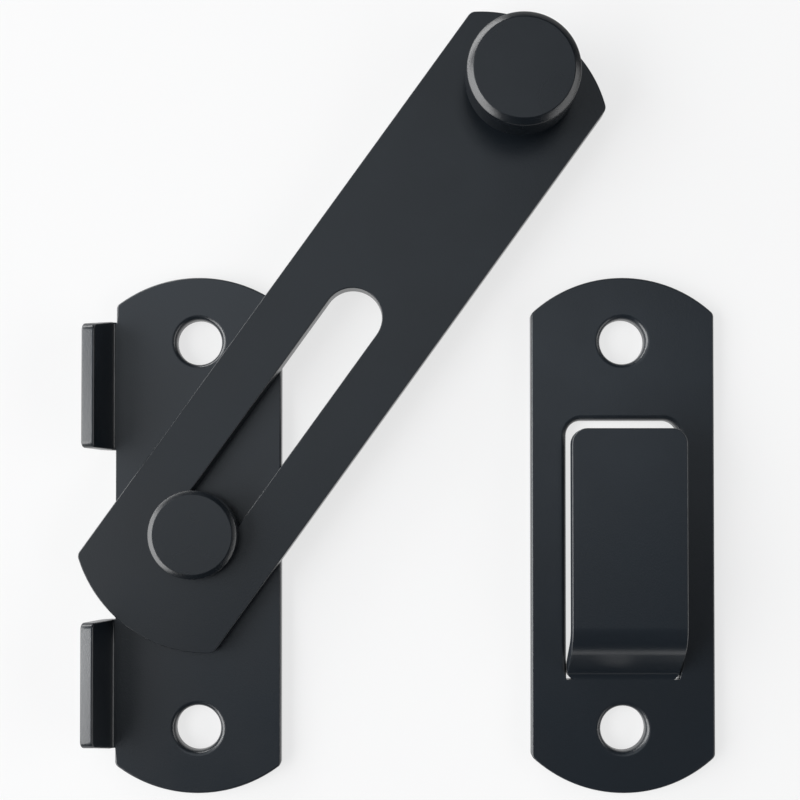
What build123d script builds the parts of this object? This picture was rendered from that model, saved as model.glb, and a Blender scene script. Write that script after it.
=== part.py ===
from build123d import *
from math import cos, hypot, radians, sin, sqrt, tan
import os

# Barn door latch: a slotted flip bar on a riveted stud, and the keeper that it drops into.
# Millimetres. Both plates lie with their backs on Z = 0, front towards +Z.
# The origin is the pivot's axis, at the centre of the base plate's back.

# Base plate
base_length = 78.0
base_width = 25.0
base_thickness = 2.0
base_end_radius = 20.4
base_screw_pitch = 58.4

# Ears folded up from the base plate's edge, which hold the bar upright or level
ear_length = 19.4  # along the edge
ear_height = 7.0  # above the plate's front
ear_bend_radius = 0.45  # inside the fold
ear_lean = 11.0  # degrees outwards from upright
ear_slant = 1.6  # how far the outer end slants in
ear_corner = 1.0
ear_side_gap = 0.3  # from an ear to the level bar's edge

# Latch bar
bar_width = 25.0
bar_thickness = 3.0
bar_angle = 54.2  # above level, as it rests
bar_play = 0.3  # under the bar, and over it below the stud's head
bar_corner = 1.2
tail_gap = 0.2  # from the swinging tail's corners to the ears
tail_end_radius = 20.2
head_reach = 92.2  # pivot to the head's tip
head_end_radius = 19.2
slot_travel = 40.0
slot_width = 8.8

# Pivot stud
shank_gap = 0.3  # from the shank to the slot's wall
stud_head_diameter = 13.1
stud_head_height = 3.0
stud_bevel_width = 0.7
stud_bevel_drop = 0.42

# Finger knob
knob_inset = 9.6  # head's tip back to the knob's axis
knob_diameter = 16.5
knob_height = 5.5
knob_bevel_width = 0.95
knob_bevel_drop = 0.58
knob_neck_diameter = 10.0
knob_neck_height = 3.2

# Rivet tails of the stud and the knob, upset flush in countersinks at the back
rivet_diameter = 6.0
rivet_flare = 0.8
rivet_gap = 0.05

# Keeper plate and the hook lanced out of it
keeper_length = 78.0
keeper_width = 27.7
keeper_thickness = 2.0
keeper_end_radius = 20.2
keeper_screw_pitch = 58.6
hook_width = 17.0
hook_knob_gap = 1.65  # from the hook's side to the knob, with the bar level
hook_play = 1.1  # from the bar's front to the hook
hook_root = -21.9  # where the hook leaves the plate
hook_tip = 15.7
hook_ramp_angle = 52.0
hook_bend_radius = 1.5  # inside each fold
hook_corner = 2.3
slit = 0.05  # cut between the hook's sides and the plate
window_top = 17.35
root_round = 1.3  # at the hook's corners, where it leaves the plate
relief_width = 0.85  # opening at the end of each slit, along the root

# Screw holes and edges
screw_hole_diameter = 6.8
screw_hole_chamfer = 0.6
plate_corner = 0.9
edge_break = 0.25  # small chamfer round the blanked edges
lap = 1.0  # how far a folded tab's section runs back into its plate

# Levels above the plates' backs
bar_bottom = base_thickness + bar_play
bar_top = bar_bottom + bar_thickness
head_bottom = bar_top + bar_play
ear_top = base_thickness + ear_height
hook_back = bar_top + hook_play

# Places that follow from the fits
ear_start = bar_width / 2 + ear_side_gap
ear_fold_centre = base_thickness + ear_bend_radius
ear_fold_drop = ear_fold_centre - bar_bottom
ear_wall = base_width / 2 + sqrt(ear_bend_radius**2 - max(ear_fold_drop, 0) ** 2)
tail_swing = hypot(ear_wall, ear_start) - tail_gap
tail_corner = sqrt(tail_swing**2 - (bar_width / 2) ** 2)
shank_radius = slot_width / 2 - shank_gap
knob_reach = head_reach - knob_inset
keeper_x = knob_reach - knob_diameter / 2 - hook_knob_gap - hook_width / 2

# The bar's own plane: X runs from the pivot to the head
bar_direction = Vector(cos(radians(bar_angle)), sin(radians(bar_angle)), 0)
bar_plane = Plane(origin=(0, 0, bar_bottom), x_dir=bar_direction, z_dir=(0, 0, 1))
keeper_plane = Plane(origin=(keeper_x, 0, 0))

# Where the knob's axis meets the bar's back: a plane facing back, and one cut along the axis
knob_centre = bar_direction * knob_reach + Vector(0, 0, bar_bottom)
knob_back = Plane(origin=knob_centre, x_dir=bar_direction, z_dir=(0, 0, -1))
knob_section = Plane(origin=knob_centre, x_dir=bar_direction, z_dir=-bar_plane.y_dir)


def end_rise(radius, width):
    # How far an end arc stands out past its two corners
    return radius - sqrt(radius**2 - (width / 2) ** 2)


def strip_outline(start, end, width, start_radius, end_radius, corner):
    # A straight strip along X with an arc at each end and rounded corners
    half = width / 2
    low = start + end_rise(start_radius, width)
    high = end - end_rise(end_radius, width)
    with BuildSketch() as outline:
        with BuildLine():
            Line((low, half), (high, half))
            ThreePointArc((high, half), (end, 0), (high, -half))
            Line((high, -half), (low, -half))
            ThreePointArc((low, -half), (start, 0), (low, half))
        make_face()
        fillet(outline.vertices(), corner)
    return outline.sketch


def front_edges(part):
    # The outline of a flat blank's front face
    return part.faces().sort_by(Axis.Z)[-1].outer_wire().edges()


# One ear: a strip folded up out of the plate, its outer end slanting in
ear_fold_radius = ear_bend_radius + base_thickness / 2
ear_fold = base_width / 2 + ear_fold_radius * tan(radians(90 - ear_lean) / 2)
ear_tip = ear_fold + (ear_top - base_thickness / 2) * tan(radians(ear_lean))
with BuildPart() as ear:
    with BuildSketch(Plane.XZ.offset(-ear_start)):
        with BuildLine():
            FilletPolyline(
                (lap - base_width / 2, base_thickness / 2),
                (-ear_fold, base_thickness / 2),
                (-ear_tip, ear_top),
                radius=ear_fold_radius,
            )
        trace(line_width=base_thickness)
    extrude(amount=-ear_length)
    with BuildSketch(Plane.YZ):
        with BuildLine():
            Polyline(
                (ear_start, 0),
                (ear_start + ear_length, 0),
                (ear_start + ear_length, ear_fold_centre),
                (ear_start + ear_length - ear_slant, ear_top + base_thickness),
                (ear_start, ear_top + base_thickness),
                close=True,
            )
        make_face()
    extrude(amount=-base_width, mode=Mode.INTERSECT)
    fillet(ear.faces().sort_by(Axis.Z)[-1].edges().sort_by(SortBy.LENGTH)[:2], ear_corner)

# Base plate, with both ears and the countersunk hole for the stud's rivet
with BuildPart() as base_plate:
    with BuildSketch():
        add(
            strip_outline(
                -base_length / 2,
                base_length / 2,
                base_width,
                base_end_radius,
                base_end_radius,
                plate_corner,
            ),
            rotation=90,
        )
    extrude(amount=base_thickness)
    chamfer(front_edges(base_plate), edge_break)
    with Locations(Plane.XY.offset(base_thickness)):
        with GridLocations(0, base_screw_pitch, 1, 2):
            CounterSinkHole(
                screw_hole_diameter / 2,
                screw_hole_diameter / 2 + screw_hole_chamfer,
                counter_sink_angle=90,
            )
    with Locations(Plane.XY.rotated((180, 0, 0))):
        CounterSinkHole(rivet_diameter / 2, rivet_diameter / 2 + rivet_flare, counter_sink_angle=90)
    add(ear.part)
    mirror(ear.part, about=Plane.XZ)
base_plate.part.label = "base_plate"

# Pivot stud: rivet tail, shank through the slot, flat round head with a bevelled rim
head_top = head_bottom + stud_head_height
with BuildPart() as pivot_stud:
    with BuildSketch(Plane.XZ):
        with BuildLine():
            Polyline(
                (0, 0),
                (rivet_diameter / 2 + rivet_flare - rivet_gap, 0),
                (rivet_diameter / 2 - rivet_gap, rivet_flare),
                (rivet_diameter / 2 - rivet_gap, base_thickness),
                (shank_radius, base_thickness),
                (shank_radius, head_bottom),
                (stud_head_diameter / 2, head_bottom),
                (stud_head_diameter / 2, head_top - stud_bevel_drop),
                (stud_head_diameter / 2 - stud_bevel_width, head_top),
                (0, head_top),
                close=True,
            )
        make_face()
    revolve(axis=Axis.Z)
pivot_stud.part.label = "pivot_stud"

# Latch bar: flat strip with a long slot and a riveted hole for the knob
with BuildPart() as latch_bar:
    with BuildSketch(bar_plane):
        add(
            strip_outline(
                -tail_corner - end_rise(tail_end_radius, bar_width),
                head_reach,
                bar_width,
                tail_end_radius,
                head_end_radius,
                bar_corner,
            )
        )
        with Locations((slot_travel / 2, 0)):
            SlotCenterToCenter(slot_travel, slot_width, mode=Mode.SUBTRACT)
    extrude(amount=bar_thickness)
    chamfer(latch_bar.faces().sort_by(Axis.Z)[-1].edges(), edge_break)
    with Locations(knob_back):
        CounterSinkHole(rivet_diameter / 2, rivet_diameter / 2 + rivet_flare, counter_sink_angle=90)
latch_bar.part.label = "latch_bar"

# Finger knob: rivet tail, narrow neck, round button with a bevelled rim
knob_bottom = bar_thickness + knob_neck_height
knob_top = knob_bottom + knob_height
with BuildPart() as finger_knob:
    with BuildSketch(knob_section):
        with BuildLine():
            Polyline(
                (0, 0),
                (rivet_diameter / 2 + rivet_flare - rivet_gap, 0),
                (rivet_diameter / 2 - rivet_gap, rivet_flare),
                (rivet_diameter / 2 - rivet_gap, bar_thickness),
                (knob_neck_diameter / 2, bar_thickness),
                (knob_neck_diameter / 2, knob_bottom),
                (knob_diameter / 2, knob_bottom),
                (knob_diameter / 2, knob_top - knob_bevel_drop),
                (knob_diameter / 2 - knob_bevel_width, knob_top),
                (0, knob_top),
                close=True,
            )
        make_face()
    revolve(axis=Axis(knob_centre, (0, 0, 1)))
finger_knob.part.label = "finger_knob"

# Hook: the tongue lanced from the keeper plate, folded out and then back upright
ramp_run = hook_back / tan(radians(hook_ramp_angle))
fold_radius = hook_bend_radius + keeper_thickness / 2
fold_start = hook_root + fold_radius * tan(radians(hook_ramp_angle / 2))
with BuildPart() as hook:
    with BuildSketch(Plane.YZ.offset(keeper_x - hook_width / 2)):
        with BuildLine():
            FilletPolyline(
                (hook_root - lap, keeper_thickness / 2),
                (fold_start, keeper_thickness / 2),
                (fold_start + ramp_run, keeper_thickness / 2 + hook_back),
                (hook_tip, keeper_thickness / 2 + hook_back),
                radius=fold_radius,
            )
        trace(line_width=keeper_thickness)
    extrude(amount=hook_width)
    fillet(hook.edges().filter_by(Axis.Z).sort_by(Axis.Y)[-2:], hook_corner)
    chamfer(hook.faces().sort_by(Axis.Z)[-1].edges().sort_by(Axis.Y)[1:], edge_break)

# Keeper plate, with the window that the hook leaves behind it
window_width = hook_width + 2 * slit
with BuildPart() as keeper_plate:
    with BuildSketch(keeper_plane):
        add(
            strip_outline(
                -keeper_length / 2,
                keeper_length / 2,
                keeper_width,
                keeper_end_radius,
                keeper_end_radius,
                plate_corner,
            ),
            rotation=90,
        )
    extrude(amount=keeper_thickness)
    chamfer(front_edges(keeper_plate), edge_break)
    with BuildSketch(keeper_plane) as window:
        with Locations((0, (hook_root + window_top) / 2)):
            Rectangle(window_width, window_top - hook_root)
        fillet(window.vertices().group_by(Axis.Y)[-1], hook_corner + slit)
    extrude(amount=keeper_thickness, mode=Mode.SUBTRACT)
    with Locations(keeper_plane.offset(keeper_thickness)):
        with GridLocations(0, keeper_screw_pitch, 1, 2):
            CounterSinkHole(
                screw_hole_diameter / 2,
                screw_hole_diameter / 2 + screw_hole_chamfer,
                counter_sink_angle=90,
            )
    add(hook.part)
    with BuildSketch(keeper_plane):
        with Locations((0, hook_root + root_round / 2)):
            with GridLocations(window_width - relief_width, 0, 2, 1):
                Rectangle(relief_width, root_round)
        with Locations((0, hook_root + root_round)):
            with GridLocations(hook_width - 2 * root_round, 0, 2, 1):
                Circle(root_round, mode=Mode.SUBTRACT)
    extrude(amount=keeper_thickness + hook_back, mode=Mode.SUBTRACT)
keeper_plate.part.label = "keeper_plate"

os.makedirs("parts", exist_ok=True)
for piece in (base_plate, pivot_stud, latch_bar, finger_knob, keeper_plate):
    export_step(piece.part, f"parts/{piece.part.label}.step")
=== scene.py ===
import bpy
import bmesh
from math import asin, cos, degrees, radians, sin, sqrt, tan
from mathutils import Matrix, Quaternion, Vector


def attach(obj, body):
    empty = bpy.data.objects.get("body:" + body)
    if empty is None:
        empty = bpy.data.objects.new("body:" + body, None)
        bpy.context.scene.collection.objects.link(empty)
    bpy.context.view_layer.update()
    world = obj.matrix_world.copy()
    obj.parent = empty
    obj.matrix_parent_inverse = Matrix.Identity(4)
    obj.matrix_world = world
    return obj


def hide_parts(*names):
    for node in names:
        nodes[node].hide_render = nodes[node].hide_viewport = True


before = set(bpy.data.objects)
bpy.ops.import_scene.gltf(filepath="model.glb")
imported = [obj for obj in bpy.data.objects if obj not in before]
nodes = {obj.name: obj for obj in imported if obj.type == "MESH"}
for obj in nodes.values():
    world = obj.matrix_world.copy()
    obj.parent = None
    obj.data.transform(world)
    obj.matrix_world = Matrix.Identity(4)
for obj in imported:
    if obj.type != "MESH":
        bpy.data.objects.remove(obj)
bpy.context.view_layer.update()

print("loaded", sorted(nodes))

# Shapes are drawn in mm and scaled at the end
mm = 0.001
touch = 0.001  # places closer than this are one
nearby = 0.01  # room for a level or an edge to be off
weld = 0.0005  # seams closer than this are merged
holeReach = 4.0  # a round hole's edge lies within this of its centre

# Angles in radians at which an edge counts as a corner, a rim or a turned rim
cornerAngle = 0.4
rimAngle = 0.7
turnedAngle = 0.3

# Steps round a strip's end, a hole's quarter and a turned piece
endSteps = 16
holeSteps = 14
turnedSteps = 128


def mathNode(tree, operation, first, second):
    node = tree.nodes.new("ShaderNodeMath")
    node.operation = operation
    tree.links.new(first, node.inputs[0])
    tree.links.new(second, node.inputs[1])
    return node.outputs[0]


def remap(tree, value, lowest, highest, low, high):
    spread = tree.nodes.new("ShaderNodeMapRange")
    spread.inputs["From Min"].default_value = lowest
    spread.inputs["From Max"].default_value = highest
    spread.inputs["To Min"].default_value = low
    spread.inputs["To Max"].default_value = high
    tree.links.new(value, spread.inputs["Value"])
    return spread.outputs["Result"]


def mixColour(tree, factor, low, high):
    mix = tree.nodes.new("ShaderNodeMix")
    mix.data_type = "RGBA"
    tree.links.new(factor, mix.inputs[0])
    for socket, colour in ((mix.inputs[6], low), (mix.inputs[7], high)):
        if isinstance(colour, tuple):
            socket.default_value = (*colour, 1)
        else:
            tree.links.new(colour, socket)
    return mix.outputs[2]


# Noise over the piece's own place, with its size from a socket
def noiseNode(tree, place, size, detail, roughness):
    noise = tree.nodes.new("ShaderNodeTexNoise")
    noise.inputs["Detail"].default_value = detail
    noise.inputs["Roughness"].default_value = roughness
    tree.links.new(place.outputs["Object"], noise.inputs["Vector"])
    tree.links.new(size, noise.inputs["Scale"])
    return noise.outputs["Fac"]


def newGroup(name, inputs, outputs):
    group = bpy.data.node_groups.new(name, "ShaderNodeTree")
    for side, sockets in (("INPUT", inputs), ("OUTPUT", outputs)):
        for socket in sockets:
            group.interface.new_socket(socket, in_out=side, socket_type="NodeSocketFloat")
    return group


# Coat grain: fine orange peel for the bump, wide soft clouds for tone and gloss
def makeCoatGrain():
    group = newGroup("coatGrain", ("Peel Size", "Cloud Size"), ("Height", "Cloud"))
    inside = group.nodes.new("NodeGroupInput")
    outside = group.nodes.new("NodeGroupOutput")
    place = group.nodes.new("ShaderNodeTexCoord")
    peel = noiseNode(group, place, inside.outputs["Peel Size"], 2.0, 0.45)
    cloud = noiseNode(group, place, inside.outputs["Cloud Size"], 3.0, 0.55)
    group.links.new(peel, outside.inputs["Height"])
    group.links.new(cloud, outside.inputs["Cloud"])
    return group


# Rim wear: the coat thins where a rounded edge is rubbed, in broken patches
def makeRimWear():
    group = newGroup("rimWear", ("Amount", "Patch Size"), ("Worn",))
    inside = group.nodes.new("NodeGroupInput")
    outside = group.nodes.new("NodeGroupOutput")
    place = group.nodes.new("ShaderNodeTexCoord")
    rim = group.nodes.new("ShaderNodeAttribute")
    rim.attribute_name = "rim"
    patches = noiseNode(group, place, inside.outputs["Patch Size"], 4.0, 0.5)
    broken = remap(group, patches, 0.42, 0.68, 0.0, 1.0)
    worn = mathNode(group, "MULTIPLY", rim.outputs["Fac"], broken)
    share = mathNode(group, "MULTIPLY", worn, inside.outputs["Amount"])
    group.links.new(share, outside.inputs["Worn"])
    return group


coatGrain = makeCoatGrain()
rimWear = makeRimWear()

# Satin black coats: darker and paler share of one tone, gloss, grain per metre
sheetCoat = {
    "dark": (0.0070, 0.0104, 0.0148), "pale": (0.0092, 0.0132, 0.0182), "bare": (0.060, 0.066, 0.074),
    "gloss": (0.28, 0.32), "specular": 0.83, "peel": 4200.0, "cloud": 95.0, "bump": 0.000012, "wear": 0.1,
}
barCoat = {
    "dark": (0.0042, 0.0064, 0.0092), "pale": (0.0058, 0.0086, 0.0120), "bare": (0.060, 0.066, 0.074),
    "gloss": (0.28, 0.32), "specular": 0.70, "peel": 4600.0, "cloud": 80.0, "bump": 0.000011, "wear": 0.1,
}
turnedCoat = {
    "dark": (0.0040, 0.0060, 0.0086), "pale": (0.0054, 0.0078, 0.0108), "bare": (0.060, 0.066, 0.074),
    "gloss": (0.25, 0.29), "specular": 0.72, "peel": 5200.0, "cloud": 110.0, "bump": 0.000008, "wear": 0.0,
}
# Shared by the coats: worn patches per metre, and the part of the clouds' range that shows
coatMarks = {"patch": 420.0, "cloudLow": 0.3, "cloudHigh": 0.7}


def makeCoat(name, finish):
    coat = bpy.data.materials.new(name)
    coat.use_nodes = True
    tree = coat.node_tree
    shader = tree.nodes["Principled BSDF"]
    shader.inputs["Specular IOR Level"].default_value = finish["specular"]
    grain = tree.nodes.new("ShaderNodeGroup")
    grain.node_tree = coatGrain
    grain.inputs["Peel Size"].default_value = finish["peel"]
    grain.inputs["Cloud Size"].default_value = finish["cloud"]
    wear = tree.nodes.new("ShaderNodeGroup")
    wear.node_tree = rimWear
    wear.inputs["Amount"].default_value = finish["wear"]
    wear.inputs["Patch Size"].default_value = coatMarks["patch"]
    cloud = grain.outputs["Cloud"]
    smooth, rough = finish["gloss"]
    share = remap(tree, cloud, coatMarks["cloudLow"], coatMarks["cloudHigh"], 0.0, 1.0)
    tone = mixColour(tree, share, finish["dark"], finish["pale"])
    tree.links.new(mixColour(tree, wear.outputs["Worn"], tone, finish["bare"]), shader.inputs["Base Color"])
    gloss = remap(tree, cloud, coatMarks["cloudLow"], coatMarks["cloudHigh"], rough, smooth)
    tree.links.new(gloss, shader.inputs["Roughness"])
    bump = tree.nodes.new("ShaderNodeBump")
    bump.inputs["Distance"].default_value = finish["bump"]
    tree.links.new(grain.outputs["Height"], bump.inputs["Height"])
    tree.links.new(bump.outputs["Normal"], shader.inputs["Normal"])
    return coat


coats = {
    "coated_sheet": makeCoat("sheetCoat", sheetCoat),
    "coated_bar": makeCoat("barCoat", barCoat),
    "coated_turned": makeCoat("turnedCoat", turnedCoat),
}
print("coats ready")


# An outline is drawn with a pen: straight to a place, or round a centre
def lineTo(bm, pen, place):
    step = bmesh.ops.extrude_vert_indiv(bm, verts=[pen])["verts"][0]
    step.co = Vector((place[0], place[1], 0))
    return step


def arcRound(bm, pen, centre, angle, steps):
    turn = bmesh.ops.spin(
        bm, geom=[pen], cent=Vector((centre[0], centre[1], 0)), axis=(0, 0, 1), dvec=(0, 0, 0),
        angle=radians(angle), steps=steps)
    return [found for found in turn["geom_last"] if isinstance(found, bmesh.types.BMVert)][0]


# Right half of a slot, or of a round hole where low and high are one
def slotRight(bm, pen, low, high, radius):
    pen = lineTo(bm, pen, (0, low - radius))
    pen = arcRound(bm, pen, (0, low), 90, holeSteps)
    if high > low:
        pen = lineTo(bm, pen, (radius, high))
    return arcRound(bm, pen, (0, high), 90, holeSteps)


def roundHole(along, radius):
    return lambda bm, pen: slotRight(bm, pen, along, along, radius)


# Right half of a strip along Y with an arc at each end, then its mirror image, then its thickness
def stripBlank(strip, cuts, stations=()):
    bm = bmesh.new()
    half = strip["width"] / 2
    topTurn = asin(half / strip["topRadius"])
    lowTurn = asin(half / strip["lowRadius"])
    lowCorner = strip["low"] + strip["lowRadius"] * (1 - cos(lowTurn))
    start = bm.verts.new((0, strip["top"], 0))
    pen = arcRound(bm, start, (0, strip["top"] - strip["topRadius"]), -degrees(topTurn), endSteps)
    for station in (*stations, lowCorner):
        pen = lineTo(bm, pen, (half, station))
    pen = arcRound(bm, pen, (0, strip["low"] + strip["lowRadius"]), -degrees(lowTurn), endSteps)
    for cut in cuts:
        pen = cut(bm, pen)
    bm.edges.new((pen, start))
    bmesh.ops.contextual_create(bm, geom=bm.edges[:])
    everything = bm.verts[:] + bm.edges[:] + bm.faces[:]
    bmesh.ops.mirror(bm, geom=everything, matrix=Matrix.Identity(4), merge_dist=weld, axis="X")
    raised = bmesh.ops.extrude_face_region(bm, geom=bm.faces[:])
    front = [found for found in raised["geom"] if isinstance(found, bmesh.types.BMVert)]
    bmesh.ops.translate(bm, verts=front, vec=(0, 0, strip["thickness"]))
    bmesh.ops.recalc_face_normals(bm, faces=bm.faces)
    corners = [edge for edge in bm.edges if isCorner(edge, half)]
    roundEdges(bm, corners, *strip["corner"])
    return bm


def isCorner(edge, half):
    one, two = edge.verts
    upright = abs(one.co.x - two.co.x) + abs(one.co.y - two.co.y) < touch
    return upright and abs(abs(one.co.x) - half) < nearby and edge.calc_face_angle(0) > cornerAngle


def roundEdges(bm, edges, width, segments):
    rounded = bmesh.ops.bevel(
        bm, geom=edges, offset=width, offset_type="OFFSET", segments=segments, profile=0.5,
        affect="EDGES", material=-1, clamp_overlap=False)
    return rounded["faces"]


# Rounds a rim and marks the middle of the round for the wear
def roundRim(bm, edges, width, segments):
    mark = bm.verts.layers.float.get("rim") or bm.verts.layers.float.new("rim")
    strips = set(roundEdges(bm, edges, width, segments))
    for vert in {corner for face in strips for corner in face.verts}:
        if all(face in strips for face in vert.link_faces):
            vert[mark] = 1.0


def sharpEdges(bm, least=rimAngle):
    return [edge for edge in bm.edges if edge.is_convex and edge.calc_face_angle(0) > least]


def middleOf(edge):
    return (edge.verts[0].co + edge.verts[1].co) / 2


# Whether a place is on a round hole at this distance along the strip, at either end
def inHole(place, along):
    return abs(place.x) < holeReach and abs(abs(place.y) - along) < holeReach


def faceAt(bm, place):
    return min(bm.faces, key=lambda face: (face.calc_center_median() - Vector(place)).length)


def lastFace(turned):
    return [found for found in turned if isinstance(found, bmesh.types.BMFace)][0]


# A face goes with its edges, so that none is left inside the solid
def withEdges(face):
    return [face, *face.edges, *face.verts]


def pushFace(bm, face, vec):
    pushed = lastFace(bmesh.ops.extrude_face_region(bm, geom=withEdges(face))["geom"])
    bmesh.ops.translate(bm, verts=pushed.verts[:], vec=vec)
    return pushed


sharpTurn = 42  # degrees, a steeper edge shows a crease


def finishPiece(bm, name, body, slot, node):
    bmesh.ops.scale(bm, vec=(mm, mm, mm), verts=bm.verts)
    bmesh.ops.recalc_face_normals(bm, faces=bm.faces)
    for face in bm.faces:
        face.smooth = True
    mesh = bpy.data.meshes.new(name)
    bm.to_mesh(mesh)
    bm.free()
    mesh.set_sharp_from_angle(angle=radians(sharpTurn))
    mesh.materials.append(coats[slot])
    piece = bpy.data.objects.new(name, mesh)
    bpy.context.scene.collection.objects.link(piece)
    even = piece.modifiers.new("evenShading", "WEIGHTED_NORMAL")
    even.keep_sharp = True
    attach(piece, body)
    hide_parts(node)
    print(name, len(mesh.polygons), "faces")


# Base plate: blank with two screw holes, and two ears folded up from its left edge
# A round is its width and its segments
basePlate = {
    "width": 25.0, "thickness": 2.0, "top": 39.0, "low": -39.0, "topRadius": 20.4, "lowRadius": 20.4,
    "corner": (0.44, 5), "rim": (0.3, 5), "holeRim": (0.8, 4),
    "screws": 29.2, "screwRadius": 3.4, "rivetRadius": 3.8,
    "earLow": 12.8, "earHigh": 32.2, "earLean": 11.0, "earFold": 0.45, "earTop": 9.0,
    "earSlant": 1.6, "slantTop": 11.0, "earCorner": (0.9, 5), "foldSteps": 10,
}


def raiseEar(bm, plate, side):
    half = plate["width"] / 2
    wall = faceAt(bm, (-half, side * (plate["earLow"] + plate["earHigh"]) / 2, plate["thickness"] / 2))
    foldLevel = plate["thickness"] + plate["earFold"]
    turn = radians(90 - plate["earLean"])
    fold = bmesh.ops.spin(
        bm, geom=withEdges(wall), cent=(-half, 0, foldLevel), axis=(0, 1, 0),
        dvec=(0, 0, 0), angle=turn, steps=plate["foldSteps"])
    middle = foldLevel - (plate["earFold"] + plate["thickness"] / 2) * cos(turn)
    reach = (plate["earTop"] - middle) / sin(turn)
    tip = pushFace(bm, lastFace(fold["geom_last"]), (-cos(turn) * reach, 0, sin(turn) * reach))
    for vert in tip.verts:
        if abs(vert.co.y) > plate["earHigh"] - nearby:
            climb = (vert.co.z - foldLevel) / (plate["slantTop"] - foldLevel)
            vert.co.y -= side * plate["earSlant"] * climb
    ends = sorted(tip.edges, key=lambda edge: edge.calc_length())[:2]
    roundEdges(bm, ends, *plate["earCorner"])


def makeBasePlate(plate):
    holes = [
        roundHole(-plate["screws"], plate["screwRadius"]),
        roundHole(0, plate["rivetRadius"]),
        roundHole(plate["screws"], plate["screwRadius"]),
    ]
    stations = (plate["earHigh"], plate["earLow"], -plate["earLow"], -plate["earHigh"])
    bm = stripBlank(plate, holes, stations)
    raiseEar(bm, plate, 1)
    raiseEar(bm, plate, -1)
    bm.normal_update()
    front = []
    holeFront = []
    for edge in sharpEdges(bm):
        middle = middleOf(edge)
        screw = inHole(middle, plate["screws"])
        rivet = inHole(middle, 0)
        if screw and middle.z > plate["thickness"] - nearby:
            holeFront.append(edge)
        elif not screw and not rivet and middle.z > nearby:
            front.append(edge)
    roundRim(bm, front, *plate["rim"])
    roundRim(bm, holeFront, *plate["holeRim"])
    finishPiece(bm, "basePlate", "fixed_plates", "coated_sheet", "base_plate")


makeBasePlate(basePlate)


# Latch bar: flat strip with a long slot, drawn upright and turned to where it rests
latchBar = {
    "width": 25.0, "thickness": 3.0, "top": 92.2, "low": -17.0, "topRadius": 19.2, "lowRadius": 20.2,
    "corner": (0.552, 6), "rim": (0.15, 5),
    "travel": 40.0, "slotRadius": 4.4, "knob": 82.6, "rivetRadius": 3.8, "angle": 54.2, "level": 2.3,
}


def makeLatchBar(bar):
    holes = [
        lambda bm, pen: slotRight(bm, pen, 0, bar["travel"], bar["slotRadius"]),
        roundHole(bar["knob"], bar["rivetRadius"]),
    ]
    bm = stripBlank(bar, holes)
    bm.normal_update()
    front = []
    for edge in sharpEdges(bm):
        middle = middleOf(edge)
        if middle.z > bar["thickness"] - nearby and not inHole(middle, bar["knob"]):
            front.append(edge)
    roundRim(bm, front, *bar["rim"])
    turn = Matrix.Rotation(radians(bar["angle"] - 90), 3, "Z")
    bmesh.ops.rotate(bm, verts=bm.verts, cent=(0, 0, 0), matrix=turn)
    bmesh.ops.translate(bm, verts=bm.verts, vec=(0, 0, bar["level"]))
    finishPiece(bm, "latchBar", "swing_bar", "coated_bar", "latch_bar")


makeLatchBar(latchBar)


# Keeper plate: blank with two screw holes and a tongue lanced out, folded up and back level
# The window's round starts at the foot, above the root, and the hook's rim at hookStart, above the plate
keeperPlate = {
    "width": 27.7, "thickness": 2.0, "top": 39.0, "low": -39.0, "topRadius": 20.2, "lowRadius": 20.2,
    "corner": (0.43, 5), "rim": (0.3, 5), "holeRim": (0.8, 4), "screws": 29.3, "screwRadius": 3.4,
    "windowHalf": 8.55, "windowTop": 17.35, "windowCorner": 2.35, "windowSteps": 10,
    "windowRim": (0.8, 5), "windowMargin": 1.0, "foot": 2.0,
    "root": -21.9, "rootHalf": 7.7, "rootRound": 1.3, "hookHalf": 8.5, "hookStart": 0.05,
    "ramp": 52.0, "rampSplit": 0.3, "fold": 1.5, "crest": 3.5, "foldSteps": 12, "rise": 6.4,
    "tip": 15.7, "hookCorner": (2.3, 9), "hookRim": (0.18, 5), "across": 64.2,
}
squareOn = 0.9  # the least share of a normal along an axis that it faces
hookOut = (0, -0.5, 0.86)  # midway between the ramp's outward side and the level part's
hookFacing = 0.4  # the least share of a normal along that way


def windowRight(bm, pen, plate):
    corner = plate["windowCorner"]
    half = plate["windowHalf"]
    pen = lineTo(bm, pen, (0, plate["root"]))
    pen = lineTo(bm, pen, (plate["rootHalf"], plate["root"]))
    pen = lineTo(bm, pen, (half, plate["root"]))
    pen = lineTo(bm, pen, (half, plate["root"] + plate["foot"]))
    pen = lineTo(bm, pen, (half, plate["windowTop"] - corner))
    pen = arcRound(bm, pen, (half - corner, plate["windowTop"] - corner), 90, plate["windowSteps"])
    return lineTo(bm, pen, (0, plate["windowTop"]))


# The tongue is narrow where it leaves the plate and widens round a corner
def widenFoot(bm, plate):
    for vert in bm.verts:
        if abs(abs(vert.co.x) - plate["rootHalf"]) < touch and vert.co.y > plate["root"] + touch:
            drop = max(plate["root"] + plate["rootRound"] - vert.co.y, 0)
            half = plate["hookHalf"] - plate["rootRound"] + sqrt(plate["rootRound"] ** 2 - drop ** 2)
            vert.co.x = max(half, plate["rootHalf"]) * (1 if vert.co.x > 0 else -1)


# Whether a face is the wall at the root, from which the tongue is raised
def isRoot(face, plate):
    middle = face.calc_center_median()
    across = abs(face.normal.y) > squareOn and abs(middle.x) < plate["rootHalf"]
    return across and abs(middle.y - plate["root"]) < touch


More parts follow.
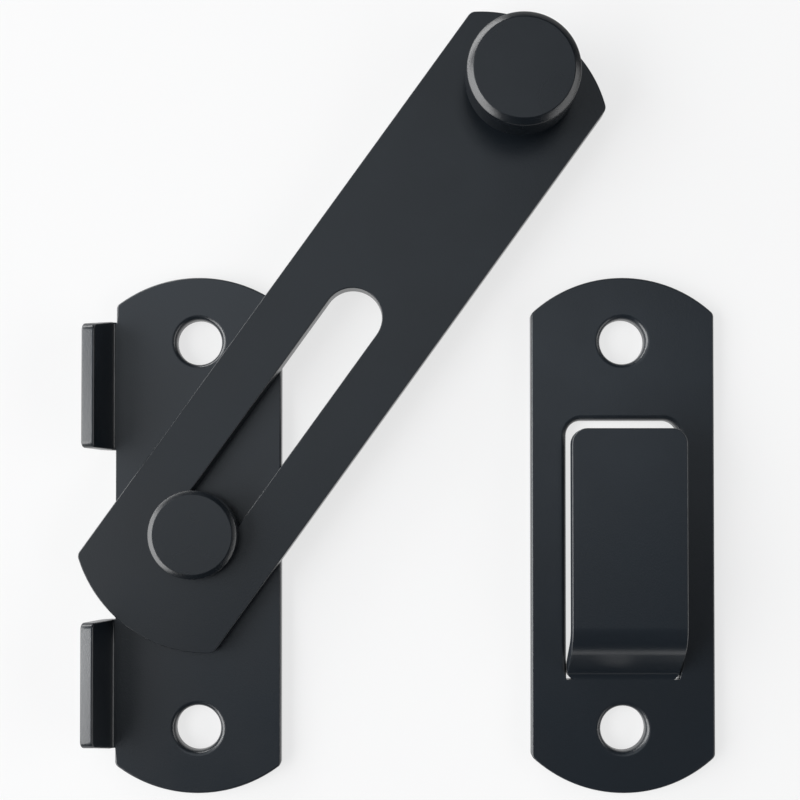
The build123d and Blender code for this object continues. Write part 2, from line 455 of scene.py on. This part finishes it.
def raiseHook(bm, plate):
    bm.normal_update()
    thick = plate["thickness"]
    turn = radians(plate["ramp"])
    ways = Vector((0, cos(turn), sin(turn)))
    walls = [face for face in bm.faces if isRoot(face, plate)]
    wall = bmesh.ops.dissolve_faces(bm, faces=walls)["region"][0]
    foldUp = bmesh.ops.spin(
        bm, geom=withEdges(wall), cent=(0, plate["root"], thick + plate["fold"]), axis=(1, 0, 0),
        dvec=(0, 0, 0), angle=turn, steps=plate["foldSteps"])
    bend = plate["crest"] + thick / 2
    straight = plate["rise"] / sin(turn) - (bend + plate["fold"] + thick / 2) * tan(turn / 2)
    ramp = pushFace(bm, lastFace(foldUp["geom_last"]), ways * straight * plate["rampSplit"])
    ramp = pushFace(bm, ramp, ways * straight * (1 - plate["rampSplit"]))
    middle = ramp.calc_center_median()
    centre = middle + Vector((0, sin(turn), -cos(turn))) * bend
    foldBack = bmesh.ops.spin(
        bm, geom=withEdges(ramp), cent=centre, axis=(1, 0, 0), dvec=(0, 0, 0), angle=-turn,
        steps=plate["foldSteps"])
    level = lastFace(foldBack["geom_last"])
    tip = pushFace(bm, level, (0, plate["tip"] - level.calc_center_median().y, 0))
    widenFoot(bm, plate)
    ends = [edge for edge in tip.edges if abs(edge.verts[0].co.x - edge.verts[1].co.x) < touch]
    roundEdges(bm, ends, *plate["hookCorner"])


# An edge of the hook's outer side, on its ramp or its level part
def hookEdge(edge):
    return any(face.normal.dot(hookOut) > hookFacing for face in edge.link_faces)


def windowEdge(edge, plate):
    along = all(abs(abs(vert.co.x) - plate["windowHalf"]) < touch for vert in edge.verts)
    top = plate["windowTop"] - plate["windowCorner"] - touch
    return along or all(vert.co.y > top for vert in edge.verts)


def inWindow(place, plate):
    margin = plate["windowMargin"]
    across = abs(place.x) < plate["windowHalf"] + margin
    return across and plate["root"] - margin < place.y < plate["windowTop"] + margin


def makeKeeperPlate(plate):
    holes = [
        roundHole(-plate["screws"], plate["screwRadius"]),
        lambda bm, pen: windowRight(bm, pen, plate),
        roundHole(plate["screws"], plate["screwRadius"]),
    ]
    bm = stripBlank(plate, holes)
    raiseHook(bm, plate)
    bm.normal_update()
    front = []
    holeFront = []
    hookFront = []
    windowFront = []
    for edge in sharpEdges(bm):
        middle = middleOf(edge)
        climb = middle.z - plate["thickness"]
        if inWindow(middle, plate):
            if climb > plate["hookStart"] and hookEdge(edge):
                hookFront.append(edge)
            elif abs(climb) < nearby and windowEdge(edge, plate):
                windowFront.append(edge)
        elif climb > -nearby:
            if inHole(middle, plate["screws"]):
                holeFront.append(edge)
            else:
                front.append(edge)
    roundRim(bm, front, *plate["rim"])
    roundRim(bm, holeFront, *plate["holeRim"])
    roundRim(bm, hookFront, *plate["hookRim"])
    roundRim(bm, windowFront, *plate["windowRim"])
    bmesh.ops.translate(bm, verts=bm.verts, vec=(plate["across"], 0, 0))
    finishPiece(bm, "keeperPlate", "fixed_plates", "coated_sheet", "keeper_plate")


makeKeeperPlate(keeperPlate)

# Turned pieces: a section of half widths and levels, spun round the piece's own axis
# Rims above the level named seen are rounded
pivotStud = {
    "section": [
        (0, 0), (3.75, 0), (2.95, 0.8), (2.95, 2.0), (4.1, 2.0), (4.1, 5.6), (6.55, 5.6),
        (6.55, 8.27), (5.85, 8.6), (0, 8.6)],
    "along": 0.0, "level": 0.0, "edge": (0.09, 4), "seen": 7.0,
}
fingerKnob = {
    "section": [
        (0, 0), (3.75, 0), (2.95, 0.8), (2.95, 3.0), (5.0, 3.0), (5.0, 6.2), (8.25, 6.2),
        (8.25, 11.12), (7.3, 11.7), (0, 11.7)],
    "along": latchBar["knob"], "level": latchBar["level"], "edge": (0.1, 4), "seen": 5.0,
}


def makeTurned(piece, name, body, node):
    bm = bmesh.new()
    pen = bm.verts.new((*piece["section"][0], 0))
    for place in piece["section"][1:]:
        pen = lineTo(bm, pen, place)
    bmesh.ops.rotate(bm, verts=bm.verts, cent=(0, 0, 0), matrix=Matrix.Rotation(radians(90), 3, "X"))
    bmesh.ops.spin(
        bm, geom=bm.verts[:] + bm.edges[:], cent=(0, 0, 0), axis=(0, 0, 1), dvec=(0, 0, 0),
        angle=radians(360), steps=turnedSteps, use_merge=True)
    bmesh.ops.remove_doubles(bm, verts=bm.verts, dist=weld)
    bmesh.ops.recalc_face_normals(bm, faces=bm.faces)
    sharp = sharpEdges(bm, turnedAngle)
    rims = [edge for edge in sharp if min(vert.co.z for vert in edge.verts) > piece["seen"]]
    roundRim(bm, rims, *piece["edge"])
    angle = radians(latchBar["angle"])
    way = Vector((cos(angle), sin(angle), 0))
    bmesh.ops.translate(bm, verts=bm.verts, vec=way * piece["along"] + Vector((0, 0, piece["level"])))
    finishPiece(bm, name, body, "coated_turned", node)


makeTurned(pivotStud, "pivotStud", "fixed_plates", "pivot_stud")
makeTurned(fingerKnob, "fingerKnob", "swing_bar", "finger_knob")


# Camera straight over the two plates, as the photograph was taken: place, lens and sensor in mm
cameraSetup = {
    "place": (30.48, 2.43, 200.0), "tilt": 0.988, "shift": 0.12,
    "lens": 58.9, "sensor": 36.0, "nearest": 5.0,
}


def makeCamera(setup):
    data = bpy.data.cameras.new("camera")
    data.lens = setup["lens"]
    data.sensor_width = setup["sensor"]
    data.shift_y = setup["shift"]
    data.clip_start = setup["nearest"] * mm
    camera = bpy.data.objects.new("camera", data)
    camera.location = Vector(setup["place"]) * mm
    camera.rotation_euler = (radians(setup["tilt"]), 0, 0)
    bpy.context.scene.collection.objects.link(camera)
    bpy.context.scene.camera = camera


makeCamera(cameraSetup)
print("camera ready")


# Soft boxes: place and aim in mm, size in mm, turn about the aim in degrees, watts
latchMiddle = (30, 10, 0)
plainWhite = (1.0, 1.0, 1.0)
coolWhite = (0.93, 1.0, 1.07)
lampSetup = {
    "topPanel": {
        "place": (-830, 245, 1125), "aim": (-830, 245, 0), "size": (2250, 1050), "spin": 15, "power": 4.2,
        "tint": coolWhite},
    "leftPanel": {
        "place": (-1165, -200, 700), "aim": latchMiddle, "size": (1750, 1075), "spin": 0, "power": 28.5,
        "tint": plainWhite},
    "earBox": {
        "place": (-807, -93, 1118), "aim": latchMiddle, "size": (490, 250), "spin": 0, "power": 1.65,
        "tint": plainWhite},
    "backStrip": {
        "place": (-839, 1046, 362), "aim": latchMiddle, "size": (1490, 400), "spin": 0, "power": 12.4,
        "tint": plainWhite},
    "rightBox": {
        "place": (1224, -200, 700), "aim": latchMiddle, "size": (1620, 600), "spin": 0, "power": 6.6,
        "tint": plainWhite},
}
worldTone = (0.024, 0.025, 0.027)


def makeLamp(name, setup):
    data = bpy.data.lights.new(name, "AREA")
    data.shape = "RECTANGLE"
    data.size = setup["size"][0] * mm
    data.size_y = setup["size"][1] * mm
    data.energy = setup["power"]
    data.color = setup["tint"]
    lamp = bpy.data.objects.new(name, data)
    lamp.location = Vector(setup["place"]) * mm
    towards = Vector(setup["aim"]) * mm - lamp.location
    spin = Quaternion((0, 0, 1), radians(setup["spin"]))
    lamp.rotation_euler = (towards.to_track_quat("-Z", "Y") @ spin).to_euler()
    lamp.visible_camera = False
    bpy.context.scene.collection.objects.link(lamp)


for name, setup in lampSetup.items():
    makeLamp(name, setup)

world = bpy.data.worlds.new("studio")
world.use_nodes = True
world.node_tree.nodes["Background"].inputs["Color"].default_value = (*worldTone, 1)
bpy.context.scene.world = world
print("lamps ready")


# Pale paper, with a low wall far off that fades upwards, so that a low view ends on paper too
# In metres, with the share of glow on the floor and at the height where the wall has faded
floorSetup = {
    "radius": 6.0, "segments": 96, "wall": 0.75, "place": (0.03, 0.01, -0.0002),
    "tone": (0.8, 0.8, 0.8), "roughness": 0.9, "specular": 0.1,
    "glow": 0.72, "fadedGlow": 0.2, "fade": 0.6,
}


def makePaper(setup):
    paint = bpy.data.materials.new("palePaper")
    paint.use_nodes = True
    tree = paint.node_tree
    shader = tree.nodes["Principled BSDF"]
    shader.inputs["Base Color"].default_value = (*setup["tone"], 1)
    shader.inputs["Roughness"].default_value = setup["roughness"]
    shader.inputs["Specular IOR Level"].default_value = setup["specular"]
    rays = tree.nodes.new("ShaderNodeLightPath")
    seen = mathNode(tree, "MAXIMUM", rays.outputs["Is Camera Ray"], rays.outputs["Is Glossy Ray"])
    seen = mathNode(tree, "MAXIMUM", seen, rays.outputs["Is Transmission Ray"])
    place = tree.nodes.new("ShaderNodeTexCoord")
    height = tree.nodes.new("ShaderNodeSeparateXYZ")
    tree.links.new(place.outputs["Object"], height.inputs[0])
    faded = remap(tree, height.outputs["Z"], 0.0, setup["fade"], setup["glow"], setup["fadedGlow"])
    share = mathNode(tree, "MULTIPLY", seen, faded)
    glow = tree.nodes.new("ShaderNodeEmission")
    mix = tree.nodes.new("ShaderNodeMixShader")
    tree.links.new(share, mix.inputs[0])
    tree.links.new(shader.outputs[0], mix.inputs[1])
    tree.links.new(glow.outputs[0], mix.inputs[2])
    tree.links.new(mix.outputs[0], tree.nodes["Material Output"].inputs["Surface"])
    return paint


def makeFloor(setup):
    bm = bmesh.new()
    bmesh.ops.create_circle(bm, cap_ends=True, segments=setup["segments"], radius=setup["radius"])
    wall = bmesh.ops.extrude_edge_only(bm, edges=bm.edges[:])
    upper = [found for found in wall["geom"] if isinstance(found, bmesh.types.BMVert)]
    bmesh.ops.translate(bm, verts=upper, vec=(0, 0, setup["wall"]))
    bmesh.ops.translate(bm, verts=bm.verts, vec=setup["place"])
    mesh = bpy.data.meshes.new("floor")
    bm.to_mesh(mesh)
    bm.free()
    mesh.materials.append(makePaper(setup))
    floor = bpy.data.objects.new("floor", mesh)
    bpy.context.scene.collection.objects.link(floor)


makeFloor(floorSetup)
print("floor ready")

bpy.context.scene.view_settings.view_transform = "Standard"
